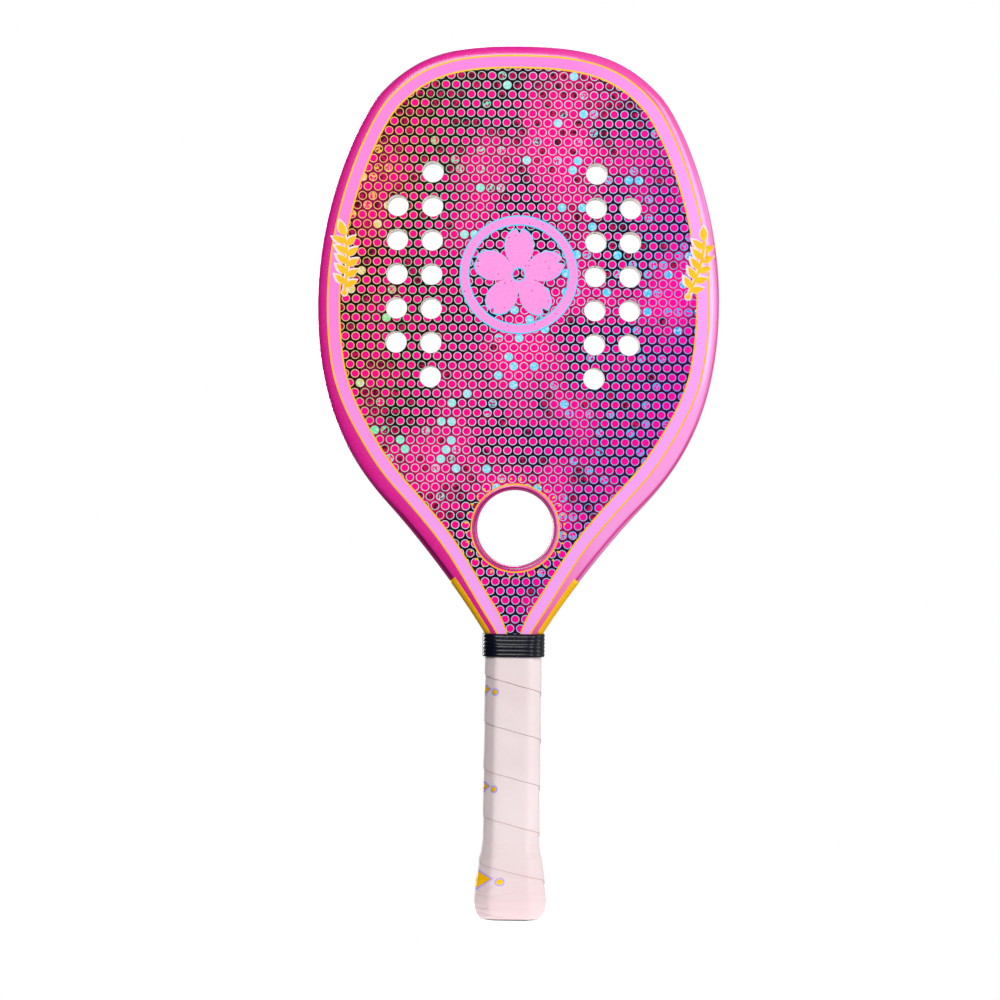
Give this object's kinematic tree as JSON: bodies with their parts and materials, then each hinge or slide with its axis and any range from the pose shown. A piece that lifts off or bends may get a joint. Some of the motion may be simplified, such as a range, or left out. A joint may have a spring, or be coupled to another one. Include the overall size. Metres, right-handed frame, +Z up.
{
  "type": "beach tennis racket",
  "caption": "Solid-faced beach tennis racket with a tube frame, drilled foam-cored face, a round throat opening and a wrapped handle.",
  "frame": {"origin": "centre of the flat end of the butt, at the lowest point of the racket", "axes": "+Z runs up the handle to the head, +X across the head to the right of the front face, +Y from the front face to the rear face"},
  "size_m": [0.23, 0.0378, 0.5],
  "materials": {
    "frame_lacquer": "gloss pearl lacquer",
    "foam": "cut foam",
    "laminate": "satin laminate",
    "printed_film": "gloss holographic print",
    "border_print": "satin print",
    "emblem_foil": "sparkle print",
    "gold_foil": "gold print",
    "filler": "cast foam",
    "pallet": "moulded",
    "cap_plastic": "moulded",
    "staple_steel": "bright wire",
    "base_grip": "cushioned",
    "overgrip": "tacky polyurethane on felt",
    "tape": "vinyl",
    "collar_rubber": "glossy moulded"
  },
  "bodies": {
    "root": {"frame_tube": "frame_lacquer", "core_foam": "foam", "front_skin": "laminate", "rear_skin": "laminate", "front_film": "printed_film", "rear_film": "printed_film", "front_border_decal": "border_print", "rear_border_decal": "border_print", "front_emblem": "emblem_foil", "rear_emblem": "emblem_foil", "front_sprig_left": "gold_foil", "front_sprig_right": "gold_foil", "rear_sprig_left": "gold_foil", "rear_sprig_right": "gold_foil", "side_decal_left": "gold_foil", "side_decal_right": "gold_foil", "throat_ring": "frame_lacquer", "handle_filler": "filler", "pallet_front": "pallet", "pallet_rear": "pallet", "butt_cap": "cap_plastic", "butt_plug": "cap_plastic", "staple_front": "staple_steel", "staple_rear": "staple_steel", "base_grip": "base_grip", "overgrip": "overgrip", "finishing_tape": "tape", "collar": "collar_rubber"}
  },
  "joints": []
}
